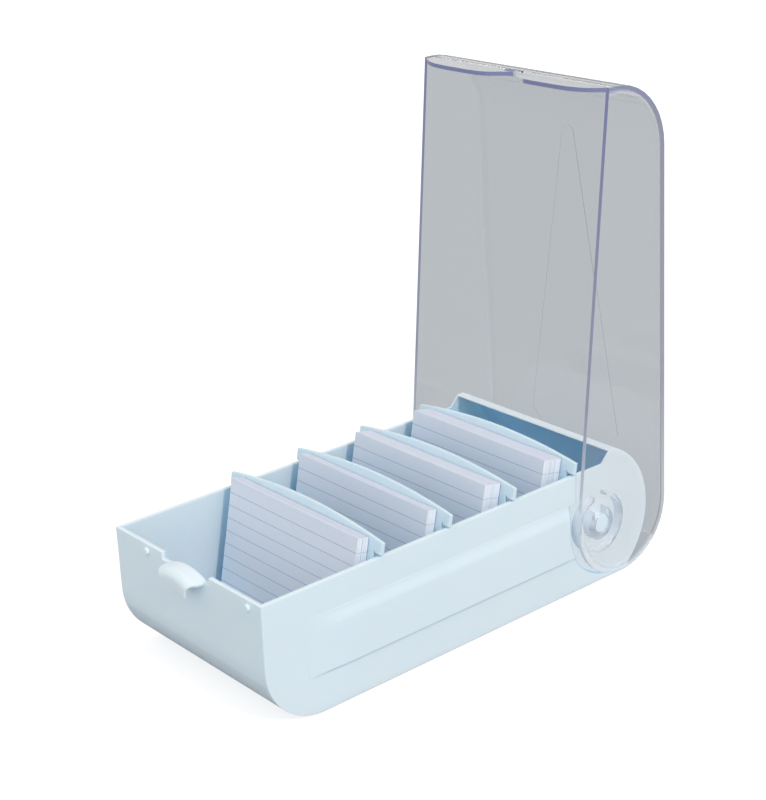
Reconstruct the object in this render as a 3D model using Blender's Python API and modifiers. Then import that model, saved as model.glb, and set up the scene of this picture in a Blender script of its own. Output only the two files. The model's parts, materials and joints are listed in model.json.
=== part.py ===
"""Index-card box: a pale blue tray, a clear flip lid on two snap pins, sliding dividers and packs of cards.

Metres, +Z up. X is the width, the front of the tray faces -Y, and the origin is under the middle of the base.
The lid is modelled standing open, as it rests against the round rear end of the tray.
"""

import math

import bmesh
import bpy
from mathutils import Matrix, Vector

MM = 0.001

# Tray
FRONT_Y = -135.3 * MM
RIM_Z = 70.3 * MM
RIM_HALF = 62.0 * MM
WALL = 2.4 * MM
FLOOR_TOP = 5.2 * MM
BASE_RECESS = 2.6 * MM
FRONT_RADIUS = 35.3 * MM
EDGE_RADIUS = 2.2 * MM
REAR_Y = FRONT_Y + 226.7 * MM
REAR_Z = 36.0 * MM
REAR_RADIUS = 44.5 * MM
REAR_TOP_Z = 76.6 * MM
REAR_TOP_FRONT_Y = FRONT_Y + 240.6 * MM
SHOULDER_Y = FRONT_Y + 234.4 * MM
HEEL_RADIUS = 8.0 * MM
HOLLOW_EDGE_RADIUS = 3.4 * MM
BASE_RECESS_INSET = 8.0 * MM
BASE_RECESS_FROM = FRONT_Y + 42.0 * MM
BASE_RECESS_TO = FRONT_Y + 236.0 * MM

# Raised side panels, and the recess that the ends of the lid turn in
PANEL_RISE = 1.5 * MM
PANEL_STEP = 1.0 * MM
PANEL_EDGE = 0.12 * MM
PANEL_TOP_FADE = 8.0 * MM
PANEL_FRONT_FADE = 26.0 * MM
PANEL_REACH = 6.0 * MM
PANEL_LOW = 21.0 * MM
PANEL_HIGH = 53.5 * MM
PANEL_FRONT_Y = FRONT_Y + 26.0 * MM
RECESS_Y = FRONT_Y + 208.0 * MM
SEAM_Y = FRONT_Y + 213.3 * MM
RECESS_DEPTH = 1.5 * MM
RECESS_CLEARANCE = 1.7 * MM
# The panel's lower edge in section: how far up its step, and the share of its rise there
PANEL_LOWER_EDGE = ((0.0, 0.0), (0.15, 0.62), (0.5, 0.92), (1.0, 1.0))

# Finger tab and the two small nibs on the front wall
NOTCH_HALF = 20.0 * MM
NOTCH_Z = 66.4 * MM
TAB_REACH = 8.4 * MM
TAB_TOP = 69.7 * MM
TAB_NOSE_Z = 61.0 * MM
TAB_NOSE_RADIUS = 4.6 * MM
TAB_ROOT_HALF = 16.2 * MM
TAB_TIP_HALF = 10.0 * MM
TAB_ROOT_ARCH = 3.8 * MM
TAB_TIP_ARCH = 2.0 * MM
TAB_THICK = 1.5 * MM
TAB_ROOT_DEPTH = 0.9 * WALL
NIB_RADIUS = 2.0 * MM
NIB_RISE = 1.5 * MM
NIBS = ((-33.5 * MM, 66.4 * MM), (51.5 * MM, 66.4 * MM))

# Hinge: two pins on the tray, in two collars on the lid
PIVOT_Y = FRONT_Y + 227.5 * MM
PIVOT_Z = 39.0 * MM
PIN_RADIUS = 5.2 * MM
PIN_END = 68.2 * MM
PIN_ROOT = RIM_HALF - RECESS_DEPTH - 0.4 * MM
PIN_EDGE = 0.6 * MM
COLLAR_BORE = 5.6 * MM
HUB_RADIUS = 9.5 * MM
COLLAR_INNER = 15.6 * MM
COLLAR_RADIUS = 17.8 * MM
COLLAR_FACE = 61.9 * MM
COLLAR_SLOT_HALF = 4.7 * MM

# Lid, drawn closed: forward of the pivot along its roof, and up from the pivot
LID_HALF = 68.7 * MM
LID_WALL = 2.2 * MM
LID_ROOF = 51.2 * MM
LID_FRONT = 239.3 * MM
LID_FREE = -18.1 * MM
LID_FREE_SLOPE = math.tan(math.radians(6.6))
LID_END_RADIUS = (LID_ROOF - LID_FREE) / 2
LID_CORNER = 37.0 * MM
ROOF_WRAP = math.radians(42)
LID_OPEN = math.radians(88.1)
LID_EDGE_RADIUS = 1.6 * MM
LID_INNER_EDGE_RADIUS = 0.9 * MM
LOBE_DEPTH = 9.5 * MM
LOBE_INSET = 1.5 * MM
LOBE_MIDDLE = 0.45
LOBE_HALF = 0.55
LOBE_NOTCH = 0.55
LOBE_NOTCH_WIDTH = 0.16
LOBE_ROOT = 3.0 * MM
BEAD_RADIUS = 1.3 * MM
BEAD_HALF = 6.5 * MM
BEAD_INSET = 0.4 * MM
PANEL_MARK = 0.25 * MM
MARK_TIP = 198.2 * MM
MARK_TIP_RADIUS = 4.3 * MM
MARK_FOOT = ((26.0 * MM, 33.5 * MM), (18.0 * MM, 26.0 * MM))
SLOT_FROM = (LID_FRONT - 23.5 * MM, -58.5 * MM)
SLOT_TO = (LID_FRONT - 14.5 * MM, -30.0 * MM)
SLOT_CORNER = 3.0 * MM

# Dividers and cards, which all lean back alike
LEAN = math.radians(11.8)
DIVIDER_THICK = 2.2 * MM
DIVIDER_HALF = 62.4 * MM
DIVIDER_BODY = 58.3 * MM
DIVIDER_CORNER_Z = 77.8 * MM
DIVIDER_CROWN = 4.7 * MM
DIVIDER_CHAMFER = 4.0 * MM
DIVIDER_NECK = 1.4 * MM
DIVIDER_FRONTS = [FRONT_Y + y * MM for y in (75.0, 120.5, 166.2, 212.0)]
CARD_WIDTH = 105.0 * MM
CARD_HEIGHT = 74.0 * MM
GAP = 0.3 * MM
# Thickness of each pack, from the divider forwards
PACKS = {
    "1": (("rear", 3.6 * MM), ("front", 3.0 * MM)),
    "2": (("whole", 5.9 * MM),),
    "3": (("rear", 5.9 * MM), ("front", 5.4 * MM)),
    "4": (("rear", 8.0 * MM), ("front", 4.9 * MM)),
}

for old in list(bpy.data.objects):
    bpy.data.objects.remove(old, do_unlink=True)

PARTS = bpy.data.collections.new("index_card_box")
CUTTERS = bpy.data.collections.new("cutters")
bpy.context.scene.collection.children.link(PARTS)
bpy.context.scene.collection.children.link(CUTTERS)


def material(name, colour, roughness, alpha=1.0):
    made = bpy.data.materials.new(name)
    made.use_nodes = True
    made.diffuse_color = (*colour, alpha)
    shader = made.node_tree.nodes["Principled BSDF"]
    shader.inputs["Base Color"].default_value = (*colour, 1.0)
    shader.inputs["Roughness"].default_value = roughness
    shader.inputs["Metallic"].default_value = 0.0
    shader.inputs["Alpha"].default_value = alpha
    return made


TRAY_BLUE = material("tray_pale_blue", (0.66, 0.80, 0.87), 0.42)
LID_CLEAR = material("lid_clear", (0.72, 0.73, 0.78), 0.08, 0.35)
DIVIDER_BLUE = material("divider_pale_blue", (0.70, 0.82, 0.88), 0.45)
CARD_WHITE = material("card_white", (0.90, 0.90, 0.92), 0.80)


def arc(centre, radius, start, end, steps):
    """Points on an arc, with its angles in degrees."""
    angles = [math.radians(start + (end - start) * i / steps) for i in range(steps + 1)]
    return [(centre[0] + radius * math.cos(a), centre[1] + radius * math.sin(a)) for a in angles]


def outline_solid(name, outline, low, high, axes="YZ", collection=PARTS):
    """A flat outline drawn in the YZ or XZ plane, thickened from low to high along the third axis."""
    curve = bpy.data.curves.new(name + "_outline", "CURVE")
    curve.dimensions = "2D"
    curve.fill_mode = "BOTH"
    curve.extrude = (high - low) / 2
    spline = curve.splines.new("POLY")
    spline.points.add(len(outline) - 1)
    for point, (first, second) in zip(spline.points, outline):
        point.co = (first, second, 0.0, 1.0)
    spline.use_cyclic_u = True
    drawn = bpy.data.objects.new(name + "_curve", curve)
    bpy.context.scene.collection.objects.link(drawn)
    graph = bpy.context.evaluated_depsgraph_get()
    mesh = bpy.data.meshes.new_from_object(drawn.evaluated_get(graph))
    bpy.data.objects.remove(drawn, do_unlink=True)
    middle = (low + high) / 2
    if axes == "YZ":
        turn = Matrix(((0, 0, 1, middle), (1, 0, 0, 0), (0, 1, 0, 0), (0, 0, 0, 1)))
    else:
        turn = Matrix(((1, 0, 0, 0), (0, 0, -1, middle), (0, 1, 0, 0), (0, 0, 0, 1)))
    mesh.transform(turn)
    return add_object(name, mesh, collection)


def add_object(name, mesh, collection):
    """Welds a mesh's caps to its sides and links it as an object."""
    work = bmesh.new()
    work.from_mesh(mesh)
    bmesh.ops.remove_doubles(work, verts=work.verts, dist=1e-6)
    bmesh.ops.recalc_face_normals(work, faces=work.faces)
    work.to_mesh(mesh)
    work.free()
    mesh.name = name
    made = bpy.data.objects.new(name, mesh)
    collection.objects.link(made)
    if collection is CUTTERS:
        made.hide_render = True
        made.display_type = "WIRE"
    return made


def box(name, low, high, collection=CUTTERS):
    mesh = bpy.data.meshes.new(name)
    work = bmesh.new()
    bmesh.ops.create_cube(work, size=1.0)
    size = Vector(high) - Vector(low)
    bmesh.ops.scale(work, vec=size, verts=work.verts)
    bmesh.ops.translate(work, vec=(Vector(high) + Vector(low)) / 2, verts=work.verts)
    work.to_mesh(mesh)
    work.free()
    return add_object(name, mesh, collection)


def disc(name, centre, radius, low, high, segments=40, axis="X", collection=CUTTERS):
    """A cylinder along X or Y, from low to high on that axis; centre holds its other two coordinates."""
    mesh = bpy.data.meshes.new(name)
    work = bmesh.new()
    bmesh.ops.create_cone(
        work, cap_ends=True, segments=segments, radius1=radius, radius2=radius, depth=high - low
    )
    middle = (low + high) / 2
    if axis == "X":
        place = Matrix.Translation((middle, *centre)) @ Matrix.Rotation(math.pi / 2, 4, "Y")
    else:
        place = Matrix.Translation((centre[0], middle, centre[1])) @ Matrix.Rotation(math.pi / 2, 4, "X")
    bmesh.ops.transform(work, matrix=place, verts=work.verts)
    work.to_mesh(mesh)
    work.free()
    return add_object(name, mesh, collection)


def bevel(obj, width, segments, angle=40.0):
    modifier = obj.modifiers.new("rounded_edges", "BEVEL")
    modifier.width = width
    modifier.segments = segments
    modifier.limit_method = "ANGLE"
    modifier.angle_limit = math.radians(angle)
    modifier.use_clamp_overlap = True


def combine(obj, other, operation):
    modifier = obj.modifiers.new(f"{operation.lower()}_{other.name}", "BOOLEAN")
    modifier.operation = operation
    modifier.object = other
    modifier.solver = "EXACT"


def tray_profile(inset):
    """Side outline of the tray: front wall, round front corner, base, heel and round rear end."""
    base = 0.0 if inset == 0 else FLOOR_TOP
    top = RIM_Z if inset == 0 else 2 * RIM_Z
    front = FRONT_Y + inset
    corner = FRONT_RADIUS - inset
    rear = REAR_RADIUS - inset
    heel = HEEL_RADIUS - inset
    points = [(front, top)]
    points += arc((front + corner, base + corner), corner, 180, 270, 18)
    # The heel arc touches the base and the inside of the rear circle.
    heel_z = base + heel
    heel_y = REAR_Y + math.sqrt((rear - heel) ** 2 - (heel_z - REAR_Z) ** 2)
    meet = math.degrees(math.atan2(heel_z - REAR_Z, heel_y - REAR_Y))
    points += arc((heel_y, heel_z), heel, 270, 360 + meet, 8)
    highest = math.degrees(math.asin((REAR_TOP_Z - REAR_Z) / rear))
    points += arc((REAR_Y, REAR_Z), rear, meet, highest, 26)[1:]
    if inset == 0:
        points += [(REAR_TOP_FRONT_Y, REAR_TOP_Z), (SHOULDER_Y, RIM_Z)]
    else:
        points += [(REAR_TOP_FRONT_Y, REAR_TOP_Z), (REAR_TOP_FRONT_Y, top)]
    return points


def recess_outline():
    """The area of the tray's side that the round end of the open lid passes over."""
    end_y = PIVOT_Y + LID_END_RADIUS + LID_FREE
    radius = LID_END_RADIUS + RECESS_CLEARANCE
    far = -2 * FRONT_Y
    points = [(SEAM_Y, 2 * RIM_Z), (SEAM_Y, PANEL_HIGH), (RECESS_Y, PANEL_HIGH)]
    points += arc((end_y, PIVOT_Z), radius, 180, 270, 18)
    return points + [(far, PIVOT_Z - radius), (far, 2 * RIM_Z)]


def side_panel(name, side):
    """A raised side panel: a crisp lower edge, and an upper edge and a front end that fade into the side."""
    top_steps, front_steps = 6, 8
    heights = [(PANEL_LOW + PANEL_STEP * up, rise) for up, rise in PANEL_LOWER_EDGE]
    for i in range(top_steps + 1):
        t = i / top_steps
        heights.append((PANEL_HIGH - PANEL_TOP_FADE * (1 - t), (1 + math.cos(math.pi * t)) / 2))
    lengths = []
    for i in range(front_steps + 1):
        t = i / front_steps
        lengths.append((PANEL_FRONT_Y + PANEL_FRONT_FADE * t, (1 - math.cos(math.pi * t)) / 2))
    lengths.append((RECESS_Y + PANEL_REACH, 1.0))
    mesh = bpy.data.meshes.new(name)
    work = bmesh.new()
    outer = [
        [
            work.verts.new((side * (RIM_HALF + PANEL_EDGE + (PANEL_RISE - PANEL_EDGE) * a * b), y, z))
            for z, b in heights
        ]
        for y, a in lengths
    ]
    inner = [[work.verts.new((side * (RIM_HALF - WALL / 2), y, z)) for z, _ in heights] for y, _ in lengths]
    for i in range(len(lengths) - 1):
        for j in range(len(heights) - 1):
            for grid in (outer, inner):
                work.faces.new((grid[i][j], grid[i + 1][j], grid[i + 1][j + 1], grid[i][j + 1]))
    for i in range(len(lengths) - 1):
        for j in (0, len(heights) - 1):
            work.faces.new((outer[i][j], outer[i + 1][j], inner[i + 1][j], inner[i][j]))
    for j in range(len(heights) - 1):
        for i in (0, len(lengths) - 1):
            work.faces.new((outer[i][j], outer[i][j + 1], inner[i][j + 1], inner[i][j]))
    bmesh.ops.recalc_face_normals(work, faces=work.faces)
    work.to_mesh(mesh)
    work.free()
    return add_object(name, mesh, CUTTERS)


def tab_surface(name):
    """The finger tab: an arched lip that runs forward from the front wall and turns down at its nose."""
    nose = (TAB_REACH - TAB_NOSE_RADIUS, TAB_TOP - TAB_NOSE_RADIUS)
    spine = [(-TAB_ROOT_DEPTH, TAB_TOP)] + arc(nose, TAB_NOSE_RADIUS, 90, 0, 6) + [(TAB_REACH, TAB_NOSE_Z)]
    across = 12
    mesh = bpy.data.meshes.new(name)
    work = bmesh.new()
    rows = []
    for step, (forward, crown) in enumerate(spine):
        tip = step / (len(spine) - 1)
        half = TAB_ROOT_HALF + (TAB_TIP_HALF - TAB_ROOT_HALF) * tip
        arch = TAB_ROOT_ARCH + (TAB_TIP_ARCH - TAB_ROOT_ARCH) * tip
        row = []
        for i in range(across + 1):
            t = 2 * i / across - 1
            row.append(work.verts.new((half * t, FRONT_Y - forward, crown - arch * t * t)))
        rows.append(row)
    for near, far in zip(rows, rows[1:]):
        for i in range(across):
            work.faces.new((near[i], near[i + 1], far[i + 1], far[i]))
    bmesh.ops.recalc_face_normals(work, faces=work.faces)
    work.to_mesh(mesh)
    work.free()
    made = bpy.data.objects.new(name, mesh)
    CUTTERS.objects.link(made)
    made.hide_render = True
    made.display_type = "WIRE"
    thick = made.modifiers.new("thickness", "SOLIDIFY")
    thick.thickness = TAB_THICK
    thick.offset = -1.0
    return made


def make_tray():
    tray = outline_solid("tray", tray_profile(0.0), -RIM_HALF, RIM_HALF)
    tray.data.materials.append(TRAY_BLUE)
    bevel(tray, EDGE_RADIUS, 5)

    for side in (-1, 1):
        panel = side_panel(f"side_panel_{side}", side)
        combine(tray, panel, "UNION")

    hollow = outline_solid(
        "tray_hollow", tray_profile(WALL), WALL - RIM_HALF, RIM_HALF - WALL, collection=CUTTERS
    )
    bevel(hollow, HOLLOW_EDGE_RADIUS, 5)
    combine(tray, hollow, "DIFFERENCE")

    for side in (-1, 1):
        inner = side * (RIM_HALF - RECESS_DEPTH)
        outer = side * (RIM_HALF + 4 * PANEL_RISE)
        recess = outline_solid(
            f"hinge_recess_{side}", recess_outline(), min(inner, outer), max(inner, outer), collection=CUTTERS
        )
        combine(tray, recess, "DIFFERENCE")
        pin = disc(
            f"hinge_pin_{side}",
            (PIVOT_Y, PIVOT_Z),
            PIN_RADIUS,
            min(side * PIN_ROOT, side * PIN_END),
            max(side * PIN_ROOT, side * PIN_END),
        )
        bevel(pin, PIN_EDGE, 2)
        combine(tray, pin, "UNION")

    notch_low = (-NOTCH_HALF, FRONT_Y - 4 * WALL, NOTCH_Z)
    notch_high = (NOTCH_HALF, FRONT_Y + 2 * WALL, 2 * RIM_Z)
    combine(tray, box("rim_notch", notch_low, notch_high), "DIFFERENCE")
    # The wall under the tab's arch, a little lower than the tab's upper surface
    web_top = TAB_TOP - TAB_THICK / 2
    spans = [1 - i / 6 for i in range(13)]
    arch = [(TAB_ROOT_HALF * t, web_top - TAB_ROOT_ARCH * t * t) for t in spans]
    arch += [(-TAB_ROOT_HALF, NOTCH_Z - WALL), (TAB_ROOT_HALF, NOTCH_Z - WALL)]
    web = outline_solid(
        "tab_web", arch, FRONT_Y + 0.1 * MM, FRONT_Y + WALL - 0.1 * MM, axes="XZ", collection=CUTTERS
    )
    combine(tray, web, "UNION")
    combine(tray, tab_surface("finger_tab"), "UNION")

    for i, (x, z) in enumerate(NIBS):
        nib = disc(
            f"nib_{i}", (x, z), NIB_RADIUS, FRONT_Y - NIB_RISE, FRONT_Y + WALL / 2, segments=16, axis="Y"
        )
        bevel(nib, 0.5 * MM, 2)
        combine(tray, nib, "UNION")

    recess_low = (BASE_RECESS_INSET - RIM_HALF, BASE_RECESS_FROM, -BASE_RECESS)
    recess_high = (RIM_HALF - BASE_RECESS_INSET, BASE_RECESS_TO, BASE_RECESS)
    combine(tray, box("base_recess", recess_low, recess_high), "DIFFERENCE")
    return tray


def lid_point(forward, up):
    """A point of the closed lid's side view, turned to where it stands when the lid is open."""
    turned = Matrix.Rotation(-LID_OPEN, 2) @ Vector((-forward, up))
    return (PIVOT_Y + turned[0], PIVOT_Z + turned[1])


def lid_outline():
    end = (0.0, LID_ROOF - LID_END_RADIUS)
    corner = (LID_FRONT - LID_CORNER, LID_ROOF - LID_CORNER)
    points = arc(end, LID_END_RADIUS, 270, 90, 20)
    points += arc(corner, LID_CORNER, 90, 0, 10)
    points.append((LID_FRONT, LID_FREE + LID_FREE_SLOPE * LID_FRONT))
    return points


def lid_hollow_outline():
    """The inside of the lid in side view, carried on past its open underside and past the end of its roof."""
    end = (0.0, LID_ROOF - LID_END_RADIUS)
    corner = (LID_FRONT - LID_CORNER, LID_ROOF - LID_CORNER)
    wrap = math.degrees(ROOF_WRAP)
    far = 2 * LID_END_RADIUS
    beyond = (end[0] - far * math.sin(ROOF_WRAP), end[1] + far * math.cos(ROOF_WRAP))
    points = [(-far, -far), (-far, beyond[1]), beyond]
    points += arc(end, LID_END_RADIUS - LID_WALL, 90 + wrap, 90, 6)
    points += arc(corner, LID_CORNER - LID_WALL, 90, 0, 10)
    points.append((LID_FRONT - LID_WALL, -far))
    return points


def lid_edge_outline():
    """Front view of the lid's front wall below the side walls' edges: two lobes with a notch between them."""
    corner = LID_FREE + LID_FREE_SLOPE * LID_FRONT
    half = LID_HALF - LOBE_INSET
    steps = 32
    points = []
    for i in range(steps + 1):
        t = 2 * i / steps - 1
        lobes = 1 - ((abs(t) - LOBE_MIDDLE) / LOBE_HALF) ** 4
        centre = LOBE_NOTCH * math.exp(-((t / LOBE_NOTCH_WIDTH) ** 2))
        points.append((half * t, corner - LOBE_DEPTH * max(0.0, lobes - centre)))
    return points + [(half, corner + LOBE_ROOT), (-half, corner + LOBE_ROOT)]


def mark_outline():
    """The tall tapered panel that stands slightly proud of the roof, seen from above."""
    points = arc((MARK_TIP, 0.0), MARK_TIP_RADIUS, -80, 80, 8)
    return points + list(MARK_FOOT) + [(forward, -across) for forward, across in reversed(MARK_FOOT)]


def rounded_outline(low, high, radius):
    """A rectangle with round corners, from its low corner to its high one."""
    points = []
    for x, y, start in (
        (high[0] - radius, high[1] - radius, 0),
        (low[0] + radius, high[1] - radius, 90),
        (low[0] + radius, low[1] + radius, 180),
        (high[0] - radius, low[1] + radius, 270),
    ):
        points += arc((x, y), radius, start, start + 90, 5)
    return points


def roof_shape(name, outline, low, high, turn):
    """A solid on the roof, from (forward, across) points. low and high are its heights over the pivot."""
    points = [(-forward, across) for forward, across in outline]
    made = outline_solid(name, points, low, high, collection=CUTTERS)
    # Drawn on edge, so X is turned to up, and the outline's second axis to across.
    made.data.transform(Matrix(((0, 0, 1, 0), (0, 1, 0, 0), (1, 0, 0, 0), (0, 0, 0, 1))))
    made.data.flip_normals()
    made.data.transform(turn)
    return made


def make_lid():
    lid = outline_solid("lid", [lid_point(*p) for p in lid_outline()], -LID_HALF, LID_HALF)
    lid.data.materials.append(LID_CLEAR)
    bevel(lid, LID_EDGE_RADIUS, 3)
    inner_half = LID_HALF - LID_WALL
    hollow = outline_solid(
        "lid_hollow",
        [lid_point(*p) for p in lid_hollow_outline()],
        -inner_half,
        inner_half,
        collection=CUTTERS,
    )
    bevel(hollow, LID_INNER_EDGE_RADIUS, 2)
    combine(lid, hollow, "DIFFERENCE")

    open_turn = Matrix.Translation((0, PIVOT_Y, PIVOT_Z)) @ Matrix.Rotation(-LID_OPEN, 4, "X")
    edge = outline_solid(
        "lid_front_edge",
        lid_edge_outline(),
        -LID_FRONT,
        LID_WALL - LID_FRONT,
        axes="XZ",
        collection=CUTTERS,
    )
    edge.data.transform(open_turn)
    combine(lid, edge, "UNION")

    bead_z = LID_FREE + LID_FREE_SLOPE * LID_FRONT + BEAD_RADIUS
    bead = disc(
        "lid_thumb_bead", (BEAD_INSET - LID_FRONT, bead_z), BEAD_RADIUS, -BEAD_HALF, BEAD_HALF, segments=16
    )
    bevel(bead, 0.8 * MM, 2)
    bead.data.transform(open_turn)
    combine(lid, bead, "UNION")

    mark = roof_shape(
        "roof_panel", mark_outline(), LID_ROOF - LID_WALL / 2, LID_ROOF + PANEL_MARK, open_turn
    )
    combine(lid, mark, "UNION")
    # A shallow rounded slot on the inside of the roof, by its front left corner
    ceiling = LID_ROOF - LID_WALL
    roof_slot = roof_shape(
        "roof_slot",
        rounded_outline(SLOT_FROM, SLOT_TO, SLOT_CORNER),
        ceiling - 2 * PANEL_MARK,
        ceiling + PANEL_MARK,
        open_turn,
    )
    combine(lid, roof_slot, "DIFFERENCE")

    for side in (-1, 1):
        face = side * COLLAR_FACE
        wall = side * (LID_HALF - LID_WALL / 2)
        through = side * (LID_HALF + LID_WALL)
        far = side * (COLLAR_FACE - 4 * LID_WALL)
        rib = disc(f"collar_rib_{side}", (PIVOT_Y, PIVOT_Z), COLLAR_RADIUS, min(face, wall), max(face, wall))
        well = disc(
            f"collar_well_{side}",
            (PIVOT_Y, PIVOT_Z),
            COLLAR_INNER,
            min(far, side * inner_half),
            max(far, side * inner_half),
        )
        combine(rib, well, "DIFFERENCE")
        hub = disc(f"collar_hub_{side}", (PIVOT_Y, PIVOT_Z), HUB_RADIUS, min(face, wall), max(face, wall))
        bore = disc(
            f"collar_bore_{side}", (PIVOT_Y, PIVOT_Z), COLLAR_BORE, min(far, through), max(far, through)
        )
        slot = box(
            f"collar_slot_{side}",
            (min(far, side * inner_half), -2 * COLLAR_RADIUS, -COLLAR_SLOT_HALF),
            (max(far, side * inner_half), 0.0, COLLAR_SLOT_HALF),
        )
        slot.data.transform(open_turn)
        combine(lid, rib, "UNION")
        combine(lid, hub, "UNION")
        combine(lid, slot, "DIFFERENCE")
        combine(lid, bore, "DIFFERENCE")

    # The lid's origin goes on its hinge axis.
    lid.data.transform(Matrix.Translation((0, -PIVOT_Y, -PIVOT_Z)))
    lid.location = (0, PIVOT_Y, PIVOT_Z)
    return lid


def divider_outline():
    """Front view of a divider: its lowest edge is at the floor and its shoulders hang on the rims."""
    floor = (FLOOR_TOP + 2 * GAP) / math.cos(LEAN)
    rim = (RIM_Z + 2 * GAP) / math.cos(LEAN) + DIVIDER_THICK * math.sin(LEAN)
    corner = DIVIDER_CORNER_Z / math.cos(LEAN)
    crown = DIVIDER_CROWN / math.cos(LEAN)
    steps = 20
    points = [
        (DIVIDER_BODY - DIVIDER_CHAMFER, floor),
        (DIVIDER_BODY, floor + DIVIDER_CHAMFER),
        (DIVIDER_BODY, rim - DIVIDER_CHAMFER),
        (DIVIDER_BODY - DIVIDER_NECK, rim - DIVIDER_CHAMFER / 2),
        (DIVIDER_BODY - DIVIDER_NECK, rim + DIVIDER_NECK),
        (DIVIDER_BODY, rim),
        (DIVIDER_HALF, rim),
    ]
    for i in range(steps + 1):
        t = 1 - 2 * i / steps
        points.append((DIVIDER_HALF * t, corner + crown * (1 - t * t)))
    left = [(-x, z) for x, z in reversed(points[:7])]
    return points + left


def make_divider(number, front_y):
    divider = outline_solid(
        f"divider_{number}", divider_outline(), 0.0, DIVIDER_THICK, axes="XZ"
    )
    divider.data.materials.append(DIVIDER_BLUE)
    # Leaned about its lowest edge, so that its front face passes through front_y at the height of its corners
    lean = Matrix.Rotation(-LEAN, 4, "X")
    divider.data.transform(lean)
    divider.location = (0, front_y - DIVIDER_CORNER_Z * math.tan(LEAN), 0)
    return divider


def make_pack(name, front_y, near, far):
    """A squared-up pack of cards that leans back on a divider, from near to far in front of it.

    front_y is the divider's front face at the height of its corners. The rear card stands on the floor.
    """
    low = FLOOR_TOP + GAP
    foot = Vector((front_y + (low - DIVIDER_CORNER_Z) * math.tan(LEAN) - GAP / math.cos(LEAN), low))
    up = CARD_HEIGHT * Vector((math.sin(LEAN), math.cos(LEAN)))
    forward = Vector((-math.cos(LEAN), math.sin(LEAN)))
    rear, front = foot + near * forward, foot + far * forward
    outline = [front, rear, rear + up, front + up]
    pack = outline_solid(name, outline, -CARD_WIDTH / 2, CARD_WIDTH / 2)
    pack.data.materials.append(CARD_WHITE)
    return pack


make_tray()
make_lid()
for number, front_y in enumerate(DIVIDER_FRONTS, 1):
    make_divider(number, front_y)
    near = 0.0
    for place, thickness in PACKS[str(number)]:
        name = f"cards_{number}" if place == "whole" else f"cards_{number}_{place}"
        make_pack(name, front_y, near, near + thickness)
        near += thickness + GAP
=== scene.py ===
"""Index-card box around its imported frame: materials, separate cards, floor, light and camera."""

import json
import math
import random
from functools import cached_property

import bmesh
import bpy
from mathutils import Matrix, Vector


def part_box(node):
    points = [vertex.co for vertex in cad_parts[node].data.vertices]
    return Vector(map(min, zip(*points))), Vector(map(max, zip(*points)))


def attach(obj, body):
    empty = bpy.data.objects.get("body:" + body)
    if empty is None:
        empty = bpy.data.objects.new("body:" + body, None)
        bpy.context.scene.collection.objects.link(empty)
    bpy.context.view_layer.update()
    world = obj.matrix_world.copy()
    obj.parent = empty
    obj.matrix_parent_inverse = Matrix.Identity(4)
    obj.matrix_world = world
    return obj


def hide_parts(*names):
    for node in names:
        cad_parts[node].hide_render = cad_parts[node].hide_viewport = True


MM = 0.001
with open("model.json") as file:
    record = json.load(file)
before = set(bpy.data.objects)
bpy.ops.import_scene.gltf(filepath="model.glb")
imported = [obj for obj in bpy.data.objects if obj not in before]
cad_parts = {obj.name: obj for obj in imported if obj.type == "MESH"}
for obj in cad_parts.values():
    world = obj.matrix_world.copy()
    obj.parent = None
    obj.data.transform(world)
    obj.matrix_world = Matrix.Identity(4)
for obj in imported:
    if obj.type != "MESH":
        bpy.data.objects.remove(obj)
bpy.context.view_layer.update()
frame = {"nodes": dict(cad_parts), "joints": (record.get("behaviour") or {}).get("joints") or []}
NODES = frame["nodes"]
PACKS = [name for name in NODES if name.startswith("cards_")]

# ---------------------------------------------------------------- places, read from the frame
TRAY_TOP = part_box("tray")[1].z
LID_JOINT = next(joint for joint in frame["joints"] if joint["name"] == "lid_hinge")
PIVOT = Vector(LID_JOINT["pos_m"])
LID_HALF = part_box("lid")[1].x
CARD_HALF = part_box(PACKS[0])[1].x

# The tray's inside, between its walls and behind its front wall's outer face
FRONT_Y = PIVOT.y - 227.5 * MM
INNER_HALF = 60.1 * MM
INNER_FRONT_Y = FRONT_Y + 1.0 * MM
REAR_WELL_Y = FRONT_Y + 221 * MM
REAR_WELL_FADE = 3 * MM
REAR_WELL_TOP = TRAY_TOP - 9 * MM
# The tray's sides, with painted shade along their creases: the hinge recess with its round end and straight
# seam, and the raised panel
SIDE_HALF = 59.5 * MM
RECESS_END_Y = PIVOT.y + 16.55 * MM
RECESS_RADIUS = 36.35 * MM
RECESS_ARC_FADE = 4 * MM
SEAM_Y = FRONT_Y + 213.3 * MM
PANEL_LOW = 21.0 * MM
PANEL_HIGH = 53.5 * MM
PANEL_FRONT_Y = FRONT_Y + 26 * MM
PANEL_FRONT_FADE = 18 * MM
PANEL_REAR_Y = FRONT_Y + 207 * MM
# How far the painted shade of narrow gaps and corners reaches
GAP_SHADE_REACH = 26 * MM

# The lid's side view, closed: forward of the pivot along its roof, and up from the pivot
LID_OPEN = math.radians(88.1)
LID_ROOF = 51.2 * MM
LID_WALL = 2.2 * MM
LID_FRONT = 239.3 * MM
LID_CORNER = 37.0 * MM
LID_END = 34.65 * MM
COLLAR_RADIUS = 18.2 * MM
# Where the rim of its opening ends, with the lid standing open
LID_MOUTH_Y = PIVOT.y + 18 * MM
# The notch in the lip at the lid's free end
NOTCH_X = 9 * MM
NOTCH_HALF = 6 * MM
NOTCH_FROM = 225 * MM
# The slot inside the roof: its middle and half sizes, forward and across, and the radius of its corners
SLOT_MIDDLE = (LID_FRONT - 19.0 * MM, -44.25 * MM)
SLOT_HALF = (4.5 * MM, 14.25 * MM)
SLOT_CORNER = 3.0 * MM
SLOT_MARGIN = 1.5 * MM

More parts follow.
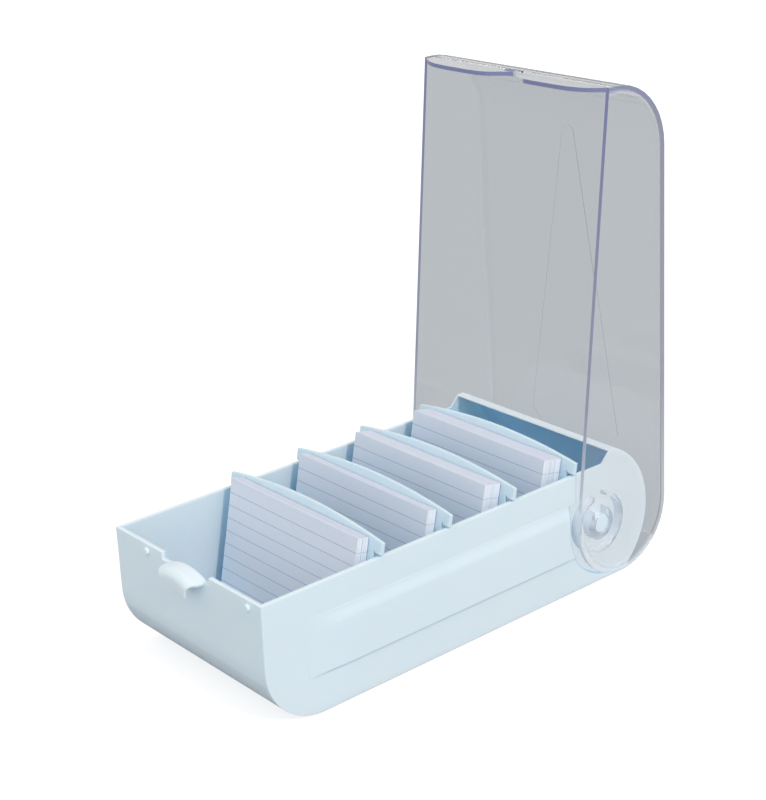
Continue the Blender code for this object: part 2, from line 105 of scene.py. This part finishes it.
# Cards: their lean, their plates and trims, and their rulings, from each card's top edge down
CARD_LEAN = math.radians(11.8)
CARD_THICK = 0.27 * MM
CARD_GAP = 0.03 * MM
CARD_TRIM = 0.15 * MM
CARD_TOP_TRIM = 0.16 * MM
LINE_GAP = 7.12 * MM
LINE_HALF = 0.13 * MM
LINE_REACH = 0.30 * MM
HEADER = 7.9 * MM
UP = Vector((0, math.sin(CARD_LEAN), math.cos(CARD_LEAN)))
BACK = Vector((0, math.cos(CARD_LEAN), -math.sin(CARD_LEAN)))
# The six faces of a plate, by its eight corners
PLATE_FACES = ((0, 1, 3, 2), (5, 4, 6, 7), (4, 0, 2, 6), (1, 5, 7, 3), (2, 3, 7, 6), (4, 5, 1, 0))

# Camera: its place, ahead of the tray's front wall; its bearing, dip and roll in radians; its lens and
# sensor in mm
CAMERA_PLACE = (0.65653, FRONT_Y - 0.42005, 0.45515)
CAMERA_BEARING = 2.4429
CAMERA_DIP = 0.3723
CAMERA_ROLL = -0.0390
CAMERA_LENS = 78.71
CAMERA_SENSOR = 36.0

# ---------------------------------------------------------------- colours
TRAY_COLOUR = (0.735, 0.83, 0.89)
TRAY_CLOUDY = (0.715, 0.82, 0.885)
# Painted shade of the tray in narrow gaps and corners
TRAY_GAP_SHADE = (0.40, 0.70, 0.92)
DIVIDER_COLOUR = (0.64, 0.77, 0.85)
DIVIDER_CLOUDY = (0.615, 0.755, 0.84)
# Painted shade of the dividers in narrow gaps and corners
DIVIDER_GAP_SHADE = (0.40, 0.66, 0.90)
# Painted shade in the tray's rear well
WELL_SHADE = (0.58, 0.79, 1.0)
# Painted shade on the tray's inside
INNER_SHADE = (0.665, 0.75, 0.80)
# Painted shade along the creases on the tray's sides
CREASE_SHADE = (0.42, 0.60, 0.74)
CLEAR = (1.0, 1.0, 1.0)
# The lid's painted edge light: violet tints, highlights and dark step lines, painted on
LID_PAINTED_EDGE_LOW = (0.44, 0.45, 0.58)
LID_PAINTED_EDGE_HIGH = (0.29, 0.31, 0.54)
LID_COLLAR_HIGHLIGHT = (0.74, 0.80, 0.86)
LID_PAINTED_BESIDE_EDGE = (0.56, 0.59, 0.64)
LID_NOTCH_HIGHLIGHT = (0.80, 0.84, 0.88)
LID_STEP_SHADE = (0.20, 0.21, 0.24)
LID_DEPTH_COLOUR = (0.55, 0.57, 0.80, 1.0)
PAPER = (0.70, 0.755, 0.85)
PAPER_FIBRE = (0.68, 0.735, 0.835)
# Painted shade of the cards in narrow gaps
PAPER_GAP_SHADE = (0.70, 0.84, 1.0)
PAPER_TOP_EDGE = (0.70, 0.71, 0.79)
PAPER_SIDE_EDGE = (0.90, 0.92, 0.97)
INK = (0.30, 0.35, 0.52)
STUDIO_GREY = (0.435, 0.46, 0.48)
FLOOR_PALE = (0.35, 0.35, 0.35)
FLOOR_GLOW = (0.78, 0.78, 0.78)
WORLD_GREY = (0.78, 0.78, 0.78, 1.0)
WORLD_WHITE = (1.0, 1.0, 1.0, 1.0)

# The Mix node's colour sockets
MIX_FIRST, MIX_SECOND, MIX_RESULT = 6, 7, 2


# ---------------------------------------------------------------- shader helpers
class Nodes:
    """A material's node tree, with short calls to add and join nodes."""

    def __init__(self, name):
        self.material = bpy.data.materials.new(name)
        self.material.use_nodes = True
        self.tree = self.material.node_tree
        self.shader = self.tree.nodes["Principled BSDF"]
        self.output = self.tree.nodes["Material Output"]

    @cached_property
    def place(self):
        """Object coordinates, in metres."""
        return self.add("ShaderNodeTexCoord").outputs["Object"]

    @cached_property
    def spot(self):
        """The same place as x, y and z."""
        return self.xyz(self.place)

    @cached_property
    def facing(self):
        """The way the surface faces, along x, y and z."""
        return self.xyz(self.add("ShaderNodeTexCoord").outputs["Normal"])

    def add(self, kind, **values):
        node = self.tree.nodes.new(kind)
        for key, value in values.items():
            setattr(node, key, value)
        return node

    def join(self, source, target):
        self.tree.links.new(source, target)

    def set(self, **values):
        """Constants on the shader's own sockets: Specular_IOR_Level=0.4 sets Specular IOR Level."""
        for name, value in values.items():
            self.shader.inputs[name.replace("_", " ")].default_value = value

    def xyz(self, vector):
        node = self.add("ShaderNodeSeparateXYZ")
        self.join(vector, node.inputs[0])
        return node.outputs

    def math(self, operation, first, second=None):
        node = self.add("ShaderNodeMath", operation=operation)
        for socket, value in zip(node.inputs, (first, second)):
            if value is None:
                continue
            if isinstance(value, (int, float)):
                socket.default_value = value
            else:
                self.join(value, socket)
        return node.outputs[0]

    def product(self, first, *others):
        for other in others:
            first = self.math("MULTIPLY", first, other)
        return first

    def most(self, first, *others):
        for other in others:
            first = self.math("MAXIMUM", first, other)
        return first

    def size(self, value):
        return self.math("ABSOLUTE", value)

    def off(self, value, middle):
        """How far value is from middle, either way."""
        return self.size(self.math("SUBTRACT", value, middle))

    def past(self, value, limit):
        """How far value is past limit, or 0 before it."""
        return self.math("MAXIMUM", self.math("SUBTRACT", value, limit), 0.0)

    def length(self, first, second):
        squares = self.math("ADD", self.math("POWER", first, 2.0), self.math("POWER", second, 2.0))
        return self.math("SQRT", squares)

    def ramp(self, fac, low, high, to_low=0.0, to_high=1.0):
        node = self.add("ShaderNodeMapRange", clamp=True)
        self.join(fac, node.inputs["Value"])
        for name, value in (("From Min", low), ("From Max", high), ("To Min", to_low), ("To Max", to_high)):
            node.inputs[name].default_value = value
        return node.outputs[0]

    def fall(self, fac, low, high, start=1.0):
        """start as far as low, down to 0 from high on."""
        return self.ramp(fac, low, high, start, 0.0)

    def noise(self, scale, detail, stretch=(1, 1, 1)):
        mapping = self.add("ShaderNodeMapping")
        self.join(self.place, mapping.inputs["Vector"])
        mapping.inputs["Scale"].default_value = stretch
        node = self.add("ShaderNodeTexNoise")
        self.join(mapping.outputs[0], node.inputs["Vector"])
        node.inputs["Scale"].default_value = scale
        node.inputs["Detail"].default_value = detail
        return node.outputs["Fac"]

    def spread(self, noise, to_low, to_high):
        """A noise's middle range, stretched from to_low to to_high."""
        return self.ramp(noise, 0.3, 0.7, to_low, to_high)

    def gap(self, reach, closed, clear):
        """The mask for painted shade: 1 where surfaces within reach close a point in, and 0 where it is in
        the clear.
        """
        node = self.add("ShaderNodeAmbientOcclusion", samples=8)
        node.inputs["Distance"].default_value = reach
        return self.fall(node.outputs["AO"], closed, clear)

    def blend(self, fac, first, second):
        node = self.add("ShaderNodeMix", data_type="RGBA")
        self.join(fac, node.inputs[0])
        for socket, value in ((node.inputs[MIX_FIRST], first), (node.inputs[MIX_SECOND], second)):
            if isinstance(value, tuple):
                socket.default_value = (*value, 1.0)
            else:
                self.join(value, socket)
        return node.outputs[MIX_RESULT]

    def bump(self, height, strength, distance):
        node = self.add("ShaderNodeBump")
        node.inputs["Strength"].default_value = strength
        node.inputs["Distance"].default_value = distance
        self.join(height, node.inputs["Height"])
        self.join(node.outputs[0], self.shader.inputs["Normal"])


# ---------------------------------------------------------------- tray and dividers
def painted_crease_shade(n):
    """Painted shade along the creases on the tray's sides: round the hinge recess, its seam, and under the
    raised panel.
    """
    across, along, up = n.spot
    outer_side = n.ramp(n.size(across), SIDE_HALF, SIDE_HALF + 0.5 * MM)
    above_panel = n.ramp(up, PANEL_HIGH, PANEL_HIGH + 0.4 * MM)
    below_panel_top = n.fall(up, PANEL_HIGH, PANEL_HIGH + 0.4 * MM)

    from_end = n.math("SUBTRACT", along, RECESS_END_Y)
    under_pivot = n.math("MINIMUM", n.math("SUBTRACT", up, PIVOT.z), 0.0)
    off_arc = n.off(n.length(from_end, under_pivot), RECESS_RADIUS)
    forward_half = n.fall(from_end, -RECESS_ARC_FADE, RECESS_ARC_FADE)
    arc = n.product(n.fall(off_arc, 0.2 * MM, 0.7 * MM), below_panel_top, forward_half)

    seam = n.product(n.fall(n.off(along, SEAM_Y), 0.2 * MM, 0.6 * MM), above_panel)

    panel = n.product(
        n.fall(n.off(up, PANEL_LOW), 0.2 * MM, 1.3 * MM, 0.75),
        n.ramp(along, PANEL_FRONT_Y, PANEL_FRONT_Y + PANEL_FRONT_FADE),
        n.fall(along, PANEL_REAR_Y, PANEL_REAR_Y + 1 * MM),
    )
    return n.product(n.most(arc, seam, panel), outer_side)


def between_walls(n):
    """1 between the tray's two side walls."""
    return n.fall(n.size(n.spot[0]), INNER_HALF, INNER_HALF + 0.3 * MM)


def tray_inside_and_crease_shade(n, colour):
    """Painted shade: the tray's inside darker than its outside, and painted dark lines along the creases on
    its sides.
    """
    behind_front = n.ramp(n.spot[1], INNER_FRONT_Y, INNER_FRONT_Y + 0.6 * MM)
    within = n.product(between_walls(n), behind_front)
    colour = n.blend(within, colour, INNER_SHADE)
    # Painted dark lines of shade along the side creases
    return n.blend(n.product(painted_crease_shade(n), 0.85), colour, CREASE_SHADE)


def painted_well_shade(n):
    """Mask for painted shade: 1 in the tray's rear well, behind the last divider and below the rims."""
    _, along, up = n.spot
    return n.product(
        between_walls(n),
        n.ramp(along, REAR_WELL_Y - REAR_WELL_FADE, REAR_WELL_Y + REAR_WELL_FADE),
        n.fall(up, REAR_WELL_TOP, TRAY_TOP - 1 * MM),
    )


def moulded_plastic(name, colour, cloudy, gap_shade, roughness, tray=False):
    """Satin moulded plastic: faint flow clouds, a fine spark-eroded grain, and light that soaks in.

    The gap colour argument is painted shade: the colour in narrow gaps and corners, where little light
    reaches. With tray, the tray's inside, its side creases and its rear well get painted shade as well.
    """
    n = Nodes(name)
    surface = n.blend(n.ramp(n.noise(14.0, 2.0), 0.35, 0.65, 0.0, 0.6), colour, cloudy)
    if tray:
        # Painted shade on the tray's inside and along its side creases
        surface = tray_inside_and_crease_shade(n, surface)
    # Painted shade: bluer and darker in narrow gaps and corners
    surface = n.blend(n.gap(GAP_SHADE_REACH, 0.10, 0.50), surface, gap_shade)
    if tray:
        # Painted shade in the rear well, below the drum
        surface = n.blend(painted_well_shade(n), surface, WELL_SHADE)
    n.join(surface, n.shader.inputs["Base Color"])
    flow = n.noise(9.0, 3.0, stretch=(1.0, 0.25, 1.0))
    n.join(n.spread(flow, roughness - 0.05, roughness + 0.05), n.shader.inputs["Roughness"])
    n.bump(n.noise(1500.0, 2.0), strength=0.10, distance=0.3 * MM)
    n.set(IOR=1.49, Specular_IOR_Level=0.42)
    n.set(Subsurface_Weight=0.45, Subsurface_Radius=(0.55, 0.85, 1.0), Subsurface_Scale=4 * MM)
    return n.material


def dress(name, material, smooth_to):
    """Gives a node its material, and smooth shading except across edges sharper than smooth_to degrees."""
    mesh = NODES[name].data
    mesh.materials.clear()
    mesh.materials.append(material)
    mesh.shade_smooth()
    mesh.set_sharp_from_angle(angle=math.radians(smooth_to))


def soften(name, width):
    """Rounds a node's sharp edges a little, by modifiers, over flat areas made whole again."""
    modifiers = NODES[name].modifiers
    weld = modifiers.new("weld", "WELD")
    weld.merge_threshold = 0.01 * MM
    flat = modifiers.new("flat", "DECIMATE")
    flat.decimate_type = "DISSOLVE"
    flat.angle_limit = math.radians(0.4)
    rounded = modifiers.new("rounded", "BEVEL")
    rounded.width = width
    rounded.segments = 2
    rounded.limit_method = "ANGLE"
    rounded.angle_limit = math.radians(50)
    rounded.harden_normals = False
    weighted = modifiers.new("weighted", "WEIGHTED_NORMAL")
    weighted.weight = 50
    weighted.keep_sharp = True


def dress_tray_and_dividers():
    tray = moulded_plastic("tray_plastic_moulded", TRAY_COLOUR, TRAY_CLOUDY, TRAY_GAP_SHADE, 0.36, tray=True)
    dress("tray", tray, smooth_to=35)
    soften("tray", 0.4 * MM)
    divider = moulded_plastic(
        "divider_plastic_moulded", DIVIDER_COLOUR, DIVIDER_CLOUDY, DIVIDER_GAP_SHADE, 0.40
    )
    for name in NODES:
        if name.startswith("divider_"):
            dress(name, divider, smooth_to=30)
            soften(name, 0.3 * MM)


# ---------------------------------------------------------------- lid
def lid_side_view(n):
    """How far a point is inside the lid's outline in side view, forward of its pivot, and above its pivot."""
    y = n.math("SUBTRACT", n.spot[1], PIVOT.y)
    z = n.math("SUBTRACT", n.spot[2], PIVOT.z)
    turn_cos, turn_sin = math.cos(LID_OPEN), math.sin(LID_OPEN)
    forward = n.math("SUBTRACT", n.product(z, turn_sin), n.product(y, turn_cos))
    up = n.math("ADD", n.product(y, turn_sin), n.product(z, turn_cos))

    past_corner = n.past(forward, LID_FRONT - LID_CORNER)
    over_corner = n.past(up, LID_ROOF - LID_CORNER)
    from_corner = n.math("SUBTRACT", LID_CORNER, n.length(past_corner, over_corner))
    behind = n.math("MINIMUM", forward, 0.0)
    over_end = n.math("SUBTRACT", up, LID_ROOF - LID_END)
    from_end = n.math("SUBTRACT", LID_END, n.length(behind, over_end))
    from_end = n.math("ADD", from_end, n.ramp(forward, 0.0, 1 * MM))
    return n.math("MINIMUM", from_corner, from_end), forward, up


def painted_step_lines(n, forward, up):
    """Painted dark lines at the steps round the mark on the roof and the slot inside it, and along the slot's
    faint outline.
    """
    across = n.spot[0]
    wall_like = n.fall(n.size(n.facing[1]), 0.4, 0.6)
    off_ceiling = n.off(up, LID_ROOF - LID_WALL + 0.13 * MM)
    slot_step = n.product(
        n.fall(off_ceiling, 0.2 * MM, 0.3 * MM),
        n.fall(n.off(across, SLOT_MIDDLE[1]), SLOT_HALF[1] + SLOT_MARGIN, SLOT_HALF[1] + 2 * SLOT_MARGIN),
        n.ramp(forward, SLOT_MIDDLE[0] - SLOT_HALF[0] - SLOT_MARGIN, SLOT_MIDDLE[0] - SLOT_HALF[0]),
    )
    mark_step = n.ramp(up, LID_ROOF + 0.02 * MM, LID_ROOF + 0.05 * MM)
    steps = n.product(n.most(mark_step, slot_step), wall_like)

    past_forward = n.past(n.off(forward, SLOT_MIDDLE[0]), SLOT_HALF[0] - SLOT_CORNER)
    past_across = n.past(n.off(across, SLOT_MIDDLE[1]), SLOT_HALF[1] - SLOT_CORNER)
    off_outline = n.off(n.length(past_forward, past_across), SLOT_CORNER)
    on_ceiling = n.fall(off_ceiling, 0.3 * MM, 0.4 * MM)
    outline = n.product(n.fall(off_outline, 0.12 * MM, 0.3 * MM, 0.45), on_ceiling)
    return n.most(steps, outline)


def clear_plastic(name):
    """Polished clear plastic: nearly colourless across a wall, with painted edge light: violet-blue tints
    painted where edges gather light, and painted highlights by the collars and the notch.
    """
    n = Nodes(name)
    across, along, _ = n.spot
    depth, forward, up = lid_side_view(n)

    # Painted edge light: the rim of the opening, and the walls' edges as a band along the outline of each
    # side, painted stronger towards the right side
    opening = n.fall(n.facing[1], -0.75, -0.45)
    rim = n.product(opening, n.fall(along, LID_MOUTH_Y, LID_MOUTH_Y + 6 * MM))
    sideways = n.ramp(n.size(n.facing[0]), 0.5, 0.7)
    outside = n.ramp(n.size(across), LID_HALF - 1.2 * MM, LID_HALF - 0.9 * MM)
    on_side = n.product(sideways, outside)
    painted_right_bias = n.ramp(across, -LID_HALF, LID_HALF, 0.25, 1.0)
    band = n.product(n.fall(depth, 2.5 * MM, 3.1 * MM, 0.8), on_side, painted_right_bias)
    beside_band = n.product(n.fall(depth, 3.8 * MM, 4.6 * MM, 0.55), on_side, painted_right_bias)
    steps = painted_step_lines(n, forward, up)
    # Painted highlight on the collars' narrow faces, milky as if they scatter light
    from_pivot = n.length(n.math("SUBTRACT", along, PIVOT.y), n.math("SUBTRACT", n.spot[2], PIVOT.z))
    collar_highlight = n.product(
        n.fall(from_pivot, COLLAR_RADIUS, COLLAR_RADIUS + 0.6 * MM, 0.6),
        n.math("SUBTRACT", 1.0, sideways),
    )
    edge = n.most(rim, band, steps, collar_highlight, beside_band)

    # Painted highlight where the lip curls at the notch
    notch = n.product(
        n.fall(n.off(across, NOTCH_X), NOTCH_HALF, NOTCH_HALF + 3 * MM),
        n.ramp(forward, NOTCH_FROM, NOTCH_FROM + 5 * MM),
    )
    # The painted edge light is milky by the collars, then violet, and deeper towards the free end, with a
    # painted highlight at the notch and painted dark lines at the steps
    tint = n.blend(n.ramp(forward, 90 * MM, 230 * MM), LID_PAINTED_EDGE_LOW, LID_PAINTED_EDGE_HIGH)
    tint = n.blend(n.ramp(forward, 10 * MM, 70 * MM), LID_COLLAR_HIGHLIGHT, tint)
    tint = n.blend(n.product(on_side, n.ramp(depth, 2.7 * MM, 3.2 * MM)), tint, LID_PAINTED_BESIDE_EDGE)
    tint = n.blend(notch, tint, LID_NOTCH_HIGHLIGHT)
    # Painted dark lines at the steps
    tint = n.blend(steps, tint, LID_STEP_SHADE)
    n.join(n.blend(edge, CLEAR, tint), n.shader.inputs["Base Color"])
    n.join(n.ramp(edge, 0.0, 1.0, 0.97, 0.2), n.shader.inputs["Transmission Weight"])
    haze = n.noise(30.0, 3.0, stretch=(1.0, 1.0, 0.3))
    n.join(n.spread(haze, 0.0, 0.03), n.shader.inputs["Roughness"])
    n.set(IOR=1.30)
    volume = n.add("ShaderNodeVolumeAbsorption")
    volume.inputs["Color"].default_value = LID_DEPTH_COLOUR
    volume.inputs["Density"].default_value = 8.0
    n.join(volume.outputs[0], n.output.inputs["Volume"])
    return n.material


def dress_lid():
    """The lid lets all light through to the tray behind it, so it casts no shadow there."""
    dress("lid", clear_plastic("lid_plastic_clear"), smooth_to=30)
    NODES["lid"].visible_shadow = False
    NODES["lid"].visible_diffuse = False


# ---------------------------------------------------------------- cards
def card_stock():
    """Ruled card: a header space, thin rulings that bleed over the cut edges, a fibrous surface, and painted
    shade in narrow gaps.
    """
    n = Nodes("card_ruled")
    down = n.add("ShaderNodeAttribute", attribute_name="down_card").outputs["Fac"]
    rows = n.math("DIVIDE", n.math("SUBTRACT", down, HEADER), LINE_GAP)
    off_line = n.product(n.math("PINGPONG", rows, 0.5), LINE_GAP)
    front = n.ramp(n.product(n.facing[1], -1.0), 0.5, 0.8)
    flank = n.ramp(n.size(n.facing[0]), 0.5, 0.8)
    ink = n.product(
        n.fall(off_line, LINE_HALF, LINE_REACH),
        n.ramp(down, HEADER - 1 * MM, HEADER - 0.5 * MM),
        n.spread(n.noise(900.0, 2.0), 0.55, 0.8),
        n.ramp(flank, 0.0, 1.0, 1.0, 0.45),
    )
    fibre = n.spread(n.noise(260.0, 4.0, stretch=(1.0, 1.0, 0.4)), 0.0, 0.5)
    paper = n.blend(fibre, PAPER, PAPER_FIBRE)
    # Painted shade, bluer where cards and dividers close in
    paper = n.blend(n.gap(2 * GAP_SHADE_REACH, 0.15, 0.75), paper, PAPER_GAP_SHADE)
    cut_edge = n.blend(flank, PAPER_TOP_EDGE, PAPER_SIDE_EDGE)
    n.join(n.blend(ink, n.blend(front, cut_edge, paper), INK), n.shader.inputs["Base Color"])
    n.join(n.ramp(fibre, 0.0, 0.5, 0.62, 0.72), n.shader.inputs["Roughness"])
    n.bump(n.noise(1300.0, 3.0), strength=0.12, distance=0.2 * MM)
    n.set(Specular_IOR_Level=0.25)
    return n.material


def new_object(name, data):
    made = bpy.data.objects.new(name, data)
    bpy.context.scene.collection.objects.link(made)
    return made


def mesh_object(name, work):
    mesh = bpy.data.meshes.new(name)
    work.to_mesh(mesh)
    work.free()
    return new_object(name, mesh)


def card_sheets(name, seed, material):
    """The pack's cards, squared up and leaning back, as one piece of separate plates.

    Each corner of a card holds how far down the card it is, for the rulings.
    """
    draw = random.Random(seed)
    points = [point.co for point in NODES[name].data.vertices]
    through = [point.dot(BACK) for point in points]
    along = [point.dot(UP) for point in points]
    first, last = min(through), max(through)
    foot, crown = min(along), max(along)
    count = int((last - first) / (CARD_THICK + CARD_GAP))
    step = (last - first) / count
    work = bmesh.new()
    down_card = work.verts.layers.float.new("down_card")
    for index in range(count):
        front = first + index * step
        trim = draw.uniform(0.0, CARD_TRIM)
        shift = draw.uniform(-1.0, 1.0) * trim
        top = crown - draw.uniform(0.0, CARD_TOP_TRIM)
        corners = []
        for back in (front, front + step - CARD_GAP):
            for height in (foot + CARD_GAP, top):
                level = BACK * back + UP * height
                for side in (-1, 1):
                    corner = work.verts.new((side * (CARD_HALF - trim) + shift, level.y, level.z))
                    corner[down_card] = crown - height
                    corners.append(corner)
        for ring in PLATE_FACES:
            work.faces.new([corners[i] for i in ring])
    bmesh.ops.recalc_face_normals(work, faces=work.faces)
    piece = mesh_object(name + "_sheets", work)
    piece.data.materials.append(material)
    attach(piece, name)
    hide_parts(name)


# ---------------------------------------------------------------- floor, light, camera
def seen_directly(tree):
    """1 where the camera sees the backdrop directly, 0 where it lights the object or shows through it."""
    return tree.nodes.new("ShaderNodeLightPath").outputs["Is Camera Ray"]


def make_floor():
    work = bmesh.new()
    bmesh.ops.create_grid(work, x_segments=1, y_segments=1, size=12.0)
    floor = mesh_object("floor", work)
    floor.location = (0, 0, -0.2 * MM)
    n = Nodes("floor_white")
    direct = seen_directly(n.tree)
    n.join(n.blend(direct, STUDIO_GREY, FLOOR_PALE), n.shader.inputs["Base Color"])
    n.join(n.blend(direct, (0.0, 0.0, 0.0), FLOOR_GLOW), n.shader.inputs["Emission Color"])
    n.set(Roughness=1.0, Specular_IOR_Level=0.0, Emission_Strength=1.0)
    floor.data.materials.append(n.material)


def sun_light(name, towards, strength, spread):
    """A distant lamp. towards points at it, and spread is its width in degrees."""
    data = bpy.data.lights.new(name, "SUN")
    data.energy = strength
    data.angle = math.radians(spread)
    light = new_object(name, data)
    light.rotation_euler = Vector(towards).to_track_quat("Z", "Y").to_euler()


def make_world():
    world = bpy.data.worlds.new("studio")
    world.use_nodes = True
    tree = world.node_tree
    mix = tree.nodes.new("ShaderNodeMix")
    mix.data_type = "RGBA"
    mix.inputs[MIX_FIRST].default_value = WORLD_GREY
    mix.inputs[MIX_SECOND].default_value = WORLD_WHITE
    tree.links.new(seen_directly(tree), mix.inputs[0])
    tree.links.new(mix.outputs[MIX_RESULT], tree.nodes["Background"].inputs["Color"])
    bpy.context.scene.world = world


def make_camera():
    level = math.cos(CAMERA_DIP)
    look = Vector(
        (level * math.cos(CAMERA_BEARING), level * math.sin(CAMERA_BEARING), -math.sin(CAMERA_DIP))
    )
    flat_right = look.cross(Vector((0, 0, 1))).normalized()
    flat_up = flat_right.cross(look)
    right = math.cos(CAMERA_ROLL) * flat_right + math.sin(CAMERA_ROLL) * flat_up
    up = math.cos(CAMERA_ROLL) * flat_up - math.sin(CAMERA_ROLL) * flat_right
    data = bpy.data.cameras.new("camera")
    data.lens = CAMERA_LENS
    data.sensor_width = CAMERA_SENSOR
    data.clip_start = 20 * MM
    camera = new_object("camera", data)
    turn = Matrix((right, up, -look)).transposed().to_4x4()
    camera.matrix_world = Matrix.Translation(CAMERA_PLACE) @ turn
    bpy.context.scene.camera = camera


def set_scene():
    """Plain colours, no caustics, and enough bounces for every wall of the lid to stay clear."""
    scene = bpy.context.scene
    scene.view_settings.view_transform = "Standard"
    scene.cycles.caustics_refractive = False
    scene.cycles.caustics_reflective = False
    scene.cycles.max_bounces = 64
    scene.cycles.transmission_bounces = 64


dress_tray_and_dividers()
dress_lid()
CARD = card_stock()
for seed, pack in enumerate(PACKS, start=11):
    card_sheets(pack, seed, CARD)
make_floor()
make_world()
sun_light("key_light", (1.0, -0.06, 0.80), strength=1.20, spread=2.0)
sun_light("front_light", (0.2, -1.0, 0.5), strength=0.42, spread=60.0)
make_camera()
set_scene()
